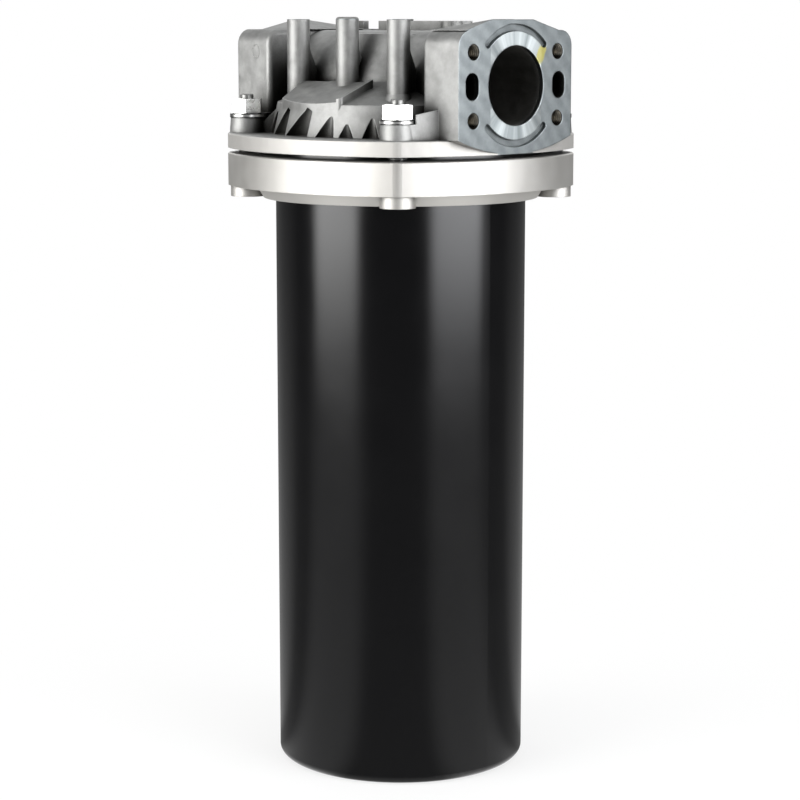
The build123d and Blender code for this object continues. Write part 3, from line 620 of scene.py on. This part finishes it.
    def bore_oil_and_shade_mask(self, tree: Tree, point: HeadPoint) -> Node:
        """Marks the bores, which an oily film turns brown and painted shade turns dark with depth.

        Args:
            tree: The material's nodes.
            point: The shaded point.

        Returns:
            The mask.
        """
        deep, mouth = (x * MM for x in self.bore_x_mm)
        fade = add(tree, "MapRange", {"Value": point.across, "From Min": deep, "From Max": mouth,
                                      "To Min": self.bore_share, "To Max": 0.0})
        inside = within(tree, (point.reach, None, self.bore_r_mm))
        return add(tree, "Math", {0: fade, 1: inside}, operation="MULTIPLY")

    def painted_fans(self, tree: Tree, point: HeadPoint) -> Node:
        """Painted fans of reflection round the bore, brighter and duller by the direction from its axis.

        Args:
            tree: The material's nodes.
            point: The shaded point.

        Returns:
            How bright the painted fan is.
        """
        course = add(tree, "VectorMath", {0: point.from_port}, operation="NORMALIZE")
        noise = add(tree, "TexNoise", {"Vector": course, "Scale": self.turned_streaks, "Detail": 4.0,
                                       "Roughness": 0.55})
        low, high = self.turned_range
        return add(tree, "MapRange", {"Value": noise, "From Min": low, "From Max": high})

    def worn_edge_highlight_mask(self, tree: Tree, soft: Source) -> Node:
        """Marks worn edges with a painted highlight, where the rounded normal leaves the flat one.

        Args:
            tree: The material's nodes.
            soft: The rounded normal.

        Returns:
            The mask.
        """
        flat = add(tree, "NewGeometry").outputs["Normal"]
        same = add(tree, "VectorMath", {0: soft, 1: flat}, operation="DOT_PRODUCT").outputs["Value"]
        low, high = self.worn_edge_highlight_turn
        return add(tree, "MapRange", {"Value": same, "From Min": low, "From Max": high, "To Min": 0.0,
                                      "To Max": self.worn_edge_highlight_share})

    def cutter_arcs(self, tree: Tree, point: HeadPoint) -> Node:
        """Faint wide arcs that a face mill leaves, half lost in the metal's own clouds.

        Args:
            tree: The material's nodes.
            point: The shaded point.

        Returns:
            How bright the arc is.
        """
        centred = add(tree, "Mapping", {"Vector": point.place, "Location": self.arcs_middle})
        arcs = add(tree, "TexWave", {"Vector": centred, "Scale": 1 / (self.arcs_mm * MM), "Distortion": 1.5,
                                     "Detail": 2.0, "Detail Scale": 60.0},
                   wave_type="RINGS", rings_direction="X")
        cloud = add(tree, "TexNoise", {"Vector": point.place, "Scale": 1 / (self.cloud_mm * MM),
                                       "Detail": 6.0, "Roughness": 0.65})
        return add(tree, "MixRGB", {"Fac": self.cloud_share, "Color1": arcs.outputs[1], "Color2": cloud})

    def mark_mask(self, tree: Tree, point: HeadPoint, mottle: Source) -> Node:
        """Marks an inspector's ragged smear of yellow marker beside the bore.

        Args:
            tree: The material's nodes.
            point: The shaded point.
            mottle: The mottle's output, which frays the smear.

        Returns:
            The mask.
        """
        near = add(tree, "Mapping", {"Vector": point.place, "Location": [c * MM for c in self.mark_at_mm],
                                     "Rotation": (math.radians(self.mark_turn), 0.0, 0.0),
                                     "Scale": [s * MM for s in self.mark_size_mm]}, vector_type="TEXTURE")
        reach = add(tree, "VectorMath", {0: near}, operation="LENGTH").outputs["Value"]
        ragged = add(tree, "Math", {0: mottle, 1: self.mark_ragged, 2: reach}, operation="MULTIPLY_ADD")
        low, high = self.mark_range
        return add(tree, "MapRange", {"Value": ragged, "From Min": low, "From Max": high,
                                      "To Min": self.mark_share, "To Max": 0.0})


CAST: Finish = CastAluminium("Cast aluminium", Slot.CAST, light="#b6b6b4", dark="#878785", roughness=0.57,
                             mottle_mm=6.0, grain_mm=0.9, grain_depth_mm=0.055, edge_mm=0.9)

# Threads cut in the casting, wet with oil: brown-grey with a soft shine at the mouth, black inside from
# painted shade.
TAPPED: Finish = Sunk("Oily tapped thread", Slot.CAST, light="#ddd6c8", dark="#a9a293", roughness=0.33,
                      mottle_mm=3.0, grain_mm=0.5, grain_depth_mm=0.01, edge_mm=0.1)

# Cast ring, turned and blasted: bright and even, with long soft highlights.
TURNED: Finish = Finish("Satin cast aluminium", Slot.TURNED, light="#cccac6", dark="#bebcb7", roughness=0.52,
                        spread=0.02, mottle_mm=14.0, grain_mm=1.0, grain_depth_mm=0.012, edge_mm=0.8,
                        crevice_mm=6.0)

# Enamel sprayed on the tube and stoved: deep black with calm, clear reflections and a faint orange peel.
ENAMEL: Finish = Finish("Black enamel", Slot.PAINT, light="#060607", dark="#040405", metallic=0.0,
                        roughness=0.18, spread=0.02, mottle_mm=40.0, grain_mm=2.5, grain_depth_mm=0.006,
                        edge_mm=0.6)

# Bright zinc plate on forged nuts: nearly white where it faces a lamp, dark where it faces the room.
ZINC: Finish = Finish("Bright zinc plate", Slot.ZINC, light="#dededc", dark="#c8c8c5", roughness=0.29,
                      mottle_mm=3.0, grain_mm=0.8, grain_depth_mm=0.005, edge_mm=0.5, crevice_mm=2.5,
                      crevice=0.9)

# The same plate on stamped washers: a little duller, with a dark joint above and below that is partly painted
# shade.
WASHER: Finish = Jointed("Zinc washer", Slot.ZINC, light="#dededc", dark="#c8c8c5", roughness=0.34,
                         mottle_mm=3.0, grain_mm=0.5, grain_depth_mm=0.01, edge_mm=0.3, crevice_mm=2.5,
                         crevice=0.9)

# Rolled threads under thin zinc: painted greyer than the nuts as shade on flanks that catch little light,
# with painted shade in the roots.
THREAD: Finish = Finish("Dull zinc thread", Slot.ZINC, light="#9a9a98", dark="#7c7c7a", roughness=0.46,
                        mottle_mm=2.0, grain_mm=0.5, grain_depth_mm=0.01, edge_mm=0.2, crevice_mm=1.6,
                        crevice=0.9)

# Tin plate on pressed sheet: a soft silver sheen.
TINNED: Finish = Finish("Tinned steel", Slot.TINNED, light="#cfcfce", dark="#b8b8b6", roughness=0.33,
                        mottle_mm=10.0, grain_mm=1.2, grain_depth_mm=0.01)

# Drawn wire with an oily film: dark, with a tight shine along the coils.
OILED: Finish = Finish("Oiled spring steel", Slot.SPRING, light="#7e7e82", dark="#5f5f63", roughness=0.28,
                       mottle_mm=4.0, grain_mm=0.5, grain_depth_mm=0.008, edge_mm=0.2)

# Moulded rubber: even black without a clear highlight.
NITRILE: Finish = Finish("Nitrile rubber", Slot.RUBBER, light="#1b1b1c", dark="#141415", metallic=0.0,
                         roughness=0.5, mottle_mm=3.0, grain_mm=0.4, grain_depth_mm=0.01, edge_mm=0.3)

# Felted glass fibre, pleated: off-white and matt, with fibres drawn much thicker than they are.
GLASS_FIBRE: Finish = Finish("Glass-fibre medium", Slot.MEDIUM, light="#e8e4d6", dark="#d8d2c0", metallic=0.0,
                             roughness=0.9, mottle_mm=1.5, grain_mm=0.5, grain_depth_mm=0.08, edge_mm=0.3)


# Sub-assemblies
@dataclass
class CadParts:
    """Dresses the CAD nodes that keep their own shape."""

    finishes: dict[Slot, Material]
    washer: Material

    def dress(self) -> None:
        """Gives each CAD node the finish of its slot in the record."""
        slots = {part["node"]: Slot(part["material_slot"]) for part in FRAME["record"]["subparts"]}
        for name, obj in FRAME["nodes"].items():
            finish = self.washer if name.startswith("washer") else self.finishes[slots[name]]
            obj.data.materials.clear()
            obj.data.materials.append(finish)
            LOG.info("node %s gets %s", name, slots[name].value)


@dataclass
class Fasteners:
    """The four studs with their threads, and the threads in the head's taps.

    A thread's shape holds the shares of the pitch at which its flank leaves the root, reaches the crest,
    leaves the crest and is back at the root.
    """

    metal: Material
    tapped: Material
    studs: int = 4
    stud_r: float = 6.0 * MM
    stud_pitch: float = 1.75 * MM
    stud_thread: float = 0.55 * MM
    stud_shape: tuple[float, float, float, float] = (0.1, 0.45, 0.6, 0.95)
    point_r: float = 4.4 * MM
    point_h: float = 5.0 * MM
    point_edge: float = 0.5 * MM
    tap_thread: float = 0.45 * MM
    tap_root: float = 0.02 * MM
    tap_wall: float = 0.05 * MM
    tap_start: float = 0.8 * MM
    tap_shape: tuple[float, float, float, float] = (0.1, 0.45, 0.55, 0.9)
    port_pitch: float = 1.75 * MM
    port_depth: float = 20.0 * MM
    boss_pitch: float = 1.25 * MM
    boss_depth: float = 15.0 * MM
    steps: int = 32
    sharp: float = 25.0

    def build(self) -> None:
        """Builds the studs and the tap threads."""
        for number in range(1, self.studs + 1):
            self.stud(f"stud_{number}")
        self.port_threads()
        self.boss_threads()

    @staticmethod
    def ridges(start: float, pitch: float, count: int, root: float, crest: float,
               shape: tuple[float, float, float, float]) -> list[tuple[float, float]]:
        """Works out the profile of a thread's turns.

        Args:
            start: Height of the first turn's foot.
            pitch: Thread pitch.
            count: How many turns there are.
            root: Radius at the root.
            crest: Radius at the crest.
            shape: The flanks' places as shares of the pitch.

        Returns:
            The profile's (radius, height) points.
        """
        return [(radius, start + (turn + share) * pitch) for turn in range(count)
                for radius, share in zip((root, crest, crest, root), shape)]

    def stud(self, node: str) -> None:
        """A stud threaded over its length, with a plain point.

        Args:
            node: The CAD stud that it stands for.
        """
        low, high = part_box(node)
        x, y = (low.x + high.x) / 2, (low.y + high.y) / 2
        shoulder = high.z - self.point_h
        root = self.stud_r - self.stud_thread
        count = int((shoulder - low.z) / self.stud_pitch)
        start = shoulder - count * self.stud_pitch
        profile = [(0.0, low.z), (root, low.z),
                   *self.ridges(start, self.stud_pitch, count, root, self.stud_r, self.stud_shape),
                   (root, shoulder), (self.point_r, shoulder), (self.point_r, high.z - self.point_edge),
                   (self.point_r - self.point_edge, high.z), (0.0, high.z)]
        bm = bmesh.new()
        spun(bm, profile, self.steps, False, Matrix.Translation((x, y, 0)))
        obj = piece_from(bm, f"threaded_{node}", self.metal, Slot.ZINC, self.sharp)
        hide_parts(node)

    def tap(self, bm: BMesh, radius: float, pitch: float, depth: float, place: Matrix) -> None:
        """Adds the ridges of one tapped hole, as a sleeve against its wall.

        Args:
            bm: The mesh that gets the sleeve.
            radius: The hole's wall radius.
            pitch: Thread pitch.
            depth: How far the thread goes in.
            place: Turns +Z into the hole and moves the sleeve to its mouth.
        """
        outer = radius + self.tap_wall
        count = int((depth - self.tap_start) / pitch)
        profile = [(outer, self.tap_start),
                   *self.ridges(self.tap_start, pitch, count, radius - self.tap_root,
                                radius - self.tap_thread, self.tap_shape),
                   (outer, self.tap_start + count * pitch)]
        spun(bm, profile, self.steps, True, place)

    def port_threads(self) -> None:
        """Builds the threads in the eight flange taps."""
        bm = bmesh.new()
        for side in Side:
            turn = Matrix.Rotation(-side.value * math.pi / 2, 4, "Y")
            for y in (-PORT_TAP_Y, PORT_TAP_Y):
                for rise in (-PORT_TAP_RISE, PORT_TAP_RISE):
                    move = Matrix.Translation((side.value * PORT_FACE_X * MM, y * MM, (PORT_Z + rise) * MM))
                    self.tap(bm, PORT_TAP_R * MM, self.port_pitch, self.port_depth, move @ turn)
        piece_from(bm, "port_tap_threads", self.tapped, Slot.CAST, self.sharp)

    def boss_threads(self) -> None:
        """Builds the threads in the four boss taps."""
        bm = bmesh.new()
        turn = Matrix.Rotation(math.pi, 4, "X")
        for x in (-BOSS_X, BOSS_X):
            for y in (-BOSS_Y, BOSS_Y):
                move = Matrix.Translation((x * MM, y * MM, BOSS_TOP_Z * MM))
                self.tap(bm, BOSS_TAP_R * MM, self.boss_pitch, self.boss_depth, move @ turn)
        piece_from(bm, "boss_tap_threads", self.tapped, Slot.CAST, self.sharp)


@dataclass
class Spring:
    """A round-wire spring with smooth turns, in place of its plain CAD solid."""

    node: str
    metal: Material
    wire_r: float
    mean_r: float
    turns: float
    steps: int = 28
    sides: int = 12

    def build(self) -> bpy.types.Object:
        """Sweeps the wire's round section up the helix.

        Returns:
            The new spring.
        """
        low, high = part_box(self.node)
        start = low.z + self.wire_r
        steps = round(self.turns * self.steps)
        climb = (high.z - low.z - 2 * self.wire_r) / steps
        bm = bmesh.new()
        place = Matrix.Translation((self.mean_r, 0, start)) @ Matrix.Rotation(math.pi / 2, 4, "X")
        made = bmesh.ops.create_circle(bm, cap_ends=False, segments=self.sides, radius=self.wire_r,
                                       matrix=place)
        edges = list({edge for vert in made["verts"] for edge in vert.link_edges})
        bmesh.ops.spin(bm, geom=made["verts"] + edges, cent=(0, 0, 0), axis=(0, 0, 1),
                       angle=TAU * self.turns, steps=steps, dvec=(0, 0, climb))
        bmesh.ops.holes_fill(bm, edges=[e for e in bm.edges if e.is_boundary], sides=self.sides)
        obj = piece_from(bm, f"wound_{self.node}", self.metal, Slot.SPRING)
        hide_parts(self.node)
        return obj


@dataclass
class CastMarks:
    """The oval ejector marks that the mould leaves on both sides of the inlet block."""

    cast: Material
    x: float = -87.8 * MM
    y: float = 52.2 * MM
    z: float = 482.0 * MM
    inner_r: float = 4.2 * MM
    outer_r: float = 5.0 * MM
    sunk: float = 0.3 * MM
    shoulder: float = 0.12 * MM
    proud: float = 0.3 * MM
    narrow: float = 0.75
    steps: int = 40

    def build(self) -> None:
        """Builds the mark on the front side and its mirror image at the back."""
        crest = (self.inner_r + self.outer_r) / 2
        profile = [(self.inner_r, -self.sunk), (self.inner_r, self.shoulder), (crest, self.proud),
                   (self.outer_r, self.shoulder), (self.outer_r, -self.sunk)]
        lie = Matrix.Rotation(math.pi / 2, 4, "X") @ Matrix.Diagonal((self.narrow, 1.0, 1.0, 1.0))
        bm = bmesh.new()
        for side in (-1, 1):
            spun(bm, profile, self.steps, True, Matrix.Translation((self.x, side * self.y, self.z)) @ lie)
        piece_from(bm, "ejector_marks", self.cast, Slot.CAST)


@dataclass(frozen=True)
class Softbox:
    """A standing area lamp that faces the object.

    Its turn is in degrees round the object from the camera's side, positive to the camera's right. Its
    middle is its height above the floor, and its power is in watts.
    """

    name: str
    turn: float
    distance: float
    width: float
    height: float
    power: float
    middle: float
    colour: str = WHITE


@dataclass
class Studio:
    """Floor, world, lamps and camera.

    A range of rises or reaches maps to the range of levels or whites that follows it. A pool is the turn of
    its middle, in degrees from the camera's side, and how much brighter it is.
    """

    camera_at: tuple[float, float, float] = (1.1427, -1.1013, 0.5060)
    aim: tuple[float, float, float] = (-0.0003, -0.0003, 0.2462)
    lens_mm: float = 105.6
    sensor_mm: float = 36.0
    camera_reach: float = 50.0
    world_colour: str = "#f2f4f6"
    world_rise: tuple[float, float] = (-0.05, 0.55)
    world_level: tuple[float, float] = (0.03, 0.6)
    floor_colour: str = "#f4f4f2"
    floor_half: float = 6.0
    floor_drop: float = 0.0005
    shadow_reach: tuple[float, float] = (0.1, 0.4)
    shadow_white: tuple[float, float] = (0.72, 1.0)
    sheen_rise: tuple[float, float] = (0.1, 0.8)
    sheen_level: tuple[float, float] = (0.07, 0.55)
    pools: tuple[tuple[float, float], ...] = ((-60.5, 1.8), (52.5, 1.8), (-140.0, 1.1), (140.0, 1.1))
    pool_edge: tuple[float, float] = (0.82, 0.97)
    feather: float = 0.23
    softboxes: tuple[Softbox, ...] = (
        Softbox("Left softbox", -60.5, 1.5, 1.55, 1.3, 46.0, 0.68),
        Softbox("Right softbox", 52.5, 1.5, 1.8, 1.3, 50.0, 0.68, "#fbfcff"),
        Softbox("Left rim softbox", -150.0, 1.6, 0.9, 1.3, 6.5, 1.12),
        Softbox("Right rim softbox", 150.0, 1.6, 0.9, 1.3, 6.0, 1.12),
        Softbox("Back softbox", 180.0, 1.8, 0.9, 1.0, 7.0, 0.75))
    overhead_size: float = 1.1
    overhead_power: float = 3.0
    overhead_z: float = 1.9

    def build(self) -> None:
        """Builds the whole studio."""
        self.world()
        self.floor()
        self.lamps()
        self.camera()
        bpy.context.scene.view_settings.view_transform = "Standard"

    def camera(self) -> None:
        """The photograph's viewpoint, level with the head's top."""
        data = bpy.data.cameras.new("Camera")
        data.sensor_width = self.sensor_mm
        data.lens = self.lens_mm
        data.clip_end = self.camera_reach
        obj = bpy.data.objects.new("Camera", data)
        obj.location = self.camera_at
        direction = Vector(self.aim) - Vector(self.camera_at)
        obj.rotation_euler = direction.to_track_quat("-Z", "Y").to_euler()
        bpy.context.scene.collection.objects.link(obj)
        bpy.context.scene.camera = obj

    def world(self) -> None:
        """White for the camera, a dim grey studio for everything that the object reflects."""
        world = bpy.data.worlds.new("Studio")
        bpy.context.scene.world = world
        world.use_nodes = True
        tree = world.node_tree
        tree.nodes.clear()
        seen = add(tree, "LightPath").outputs["Is Camera Ray"]
        rise = add(tree, "SeparateXYZ", {0: add(tree, "TexCoord").outputs["Generated"]}).outputs["Z"]
        level = add(tree, "MapRange", {"Value": rise, "From Min": self.world_rise[0],
                                       "From Max": self.world_rise[1], "To Min": self.world_level[0],
                                       "To Max": self.world_level[1]})
        light = add(tree, "Background", {"Color": self.world_colour, "Strength": level})
        white = add(tree, "Background", {"Color": WHITE, "Strength": 1.0})
        mixed = add(tree, "MixShader", {0: seen, 1: light, 2: white})
        add(tree, "OutputWorld", {"Surface": mixed})

    def floor(self) -> None:
        """A pale floor that keeps a soft shadow near the object and runs into the white background."""
        bm = bmesh.new()
        bmesh.ops.create_grid(bm, x_segments=2, y_segments=2, size=self.floor_half)
        mesh = bpy.data.meshes.new("Floor")
        bm.to_mesh(mesh)
        bm.free()
        obj = bpy.data.objects.new("Floor", mesh)
        obj.location = (0, 0, -self.floor_drop)
        bpy.context.scene.collection.objects.link(obj)
        mesh.materials.append(self.floor_material())

    def floor_material(self) -> Material:
        """Builds the floor's nodes. What the object mirrors of it is dimmer, with pools before the lamps.

        Returns:
            The material.
        """
        material, tree = new_material("Pale floor")
        ray = add(tree, "LightPath").outputs
        place = add(tree, "TexCoord").outputs["Object"]
        reach = add(tree, "VectorMath", {0: place}, operation="LENGTH").outputs["Value"]
        fade = add(tree, "MapRange", {"Value": reach, "From Min": self.shadow_reach[0],
                                      "From Max": self.shadow_reach[1], "To Min": self.shadow_white[0],
                                      "To Max": self.shadow_white[1]})
        matt = add(tree, "BsdfDiffuse", {"Color": self.floor_colour})
        white = add(tree, "Emission", {"Color": WHITE, "Strength": 1.0})
        seen = add(tree, "MixShader", {0: fade, 1: matt, 2: white})
        steep = add(tree, "SeparateXYZ", {0: add(tree, "NewGeometry").outputs["Incoming"]}).outputs["Z"]
        sheen = add(tree, "MapRange", {"Value": steep, "From Min": self.sheen_rise[0],
                                       "From Max": self.sheen_rise[1], "To Min": self.sheen_level[0],
                                       "To Max": self.sheen_level[1]})
        strength = sheen
        course = add(tree, "VectorMath", {0: place}, operation="NORMALIZE")
        low, high = self.pool_edge
        for turn, gain in self.pools:
            angle = self.azimuth(turn)
            along = add(tree, "VectorMath", {0: course, 1: (math.cos(angle), math.sin(angle), 0.0)},
                        operation="DOT_PRODUCT").outputs["Value"]
            pool = add(tree, "MapRange", {"Value": along, "From Min": low, "From Max": high, "To Min": 0.0,
                                          "To Max": gain}, interpolation_type="SMOOTHSTEP")
            strength = add(tree, "Math", {0: sheen, 1: pool, 2: strength}, operation="MULTIPLY_ADD")
        dim = add(tree, "Emission", {"Color": WHITE, "Strength": strength})
        glossy = add(tree, "MixShader", {0: ray["Is Glossy Ray"], 1: matt, 2: dim})
        mixed = add(tree, "MixShader", {0: ray["Is Camera Ray"], 1: glossy, 2: seen})
        add(tree, "OutputMaterial", {"Surface": mixed})
        return material

    def azimuth(self, turn: float) -> float:
        """The angle from +X, in radians, of a turn in degrees from the camera's side."""
        return math.atan2(self.camera_at[1], self.camera_at[0]) + math.radians(turn)

    def lamps(self) -> None:
        """Two wide softboxes beside the camera, three dim ones behind and one overhead."""
        for box in self.softboxes:
            obj = self.area(box.name, box.width, box.height, box.power, box.colour)
            angle = self.azimuth(box.turn)
            outwards = Vector((math.cos(angle), math.sin(angle), 0))
            obj.location = outwards * box.distance + Vector((0, 0, box.middle))
            obj.rotation_euler = (-outwards).to_track_quat("-Z", "Y").to_euler()
        size = self.overhead_size
        overhead = self.area("Overhead softbox", size, size, self.overhead_power, WHITE)
        overhead.location = (0, 0, self.overhead_z)

    def area(self, name: str, width: float, height: float, power: float, colour: str) -> bpy.types.Object:
        """A rectangular area lamp that fades towards its edges.

        Args:
            name: The lamp's name.
            width: Its width.
            height: Its height.
            power: Watts.
            colour: sRGB hex colour.

        Returns:
            The lamp's object, still at the origin and facing down.
        """
        data = bpy.data.lights.new(name, "AREA")
        data.shape = "RECTANGLE"
        data.size, data.size_y = width, height
        data.energy = power
        data.color = linear(colour)[:3]
        data.use_nodes = True
        tree = data.node_tree
        tree.nodes.clear()
        edge = 0.5
        across = add(tree, "SeparateXYZ", {0: add(tree, "NewGeometry").outputs["Parametric"]}).outputs
        falls = []
        for axis in ("X", "Y"):
            centred = add(tree, "Math", {0: across[axis], 1: edge}, operation="SUBTRACT")
            offset = add(tree, "Math", {0: centred}, operation="ABSOLUTE")
            falls.append(add(tree, "MapRange", {"Value": offset, "From Min": edge - self.feather,
                                                "From Max": edge, "To Min": 1.0, "To Max": 0.0},
                             interpolation_type="SMOOTHSTEP"))
        level = add(tree, "Math", {0: falls[0], 1: falls[1]}, operation="MULTIPLY")
        glow = add(tree, "Emission", {"Strength": level})
        add(tree, "OutputLight", {"Surface": glow})
        obj = bpy.data.objects.new(name, data)
        bpy.context.scene.collection.objects.link(obj)
        return obj


def main() -> None:
    """Builds the sub-assemblies in order."""
    logging.basicConfig(level=logging.INFO, format="%(name)s: %(message)s")
    finishes = {finish.slot: finish.material()
                for finish in (CAST, TURNED, ENAMEL, ZINC, TINNED, OILED, NITRILE, GLASS_FIBRE)}
    CadParts(finishes, WASHER.material()).dress()
    Fasteners(THREAD.material(), TAPPED.material()).build()
    Spring("element_spring", finishes[Slot.SPRING], wire_r=2.0 * MM, mean_r=32.0 * MM, turns=4.0).build()
    valve_spring = Spring("bypass_spring", finishes[Slot.SPRING], wire_r=0.9 * MM, mean_r=9.5 * MM,
                          turns=5.0).build()
    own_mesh(valve_spring)
    CastMarks(finishes[Slot.CAST]).build()
    Studio().build()


if __name__ == "__main__":
    main()
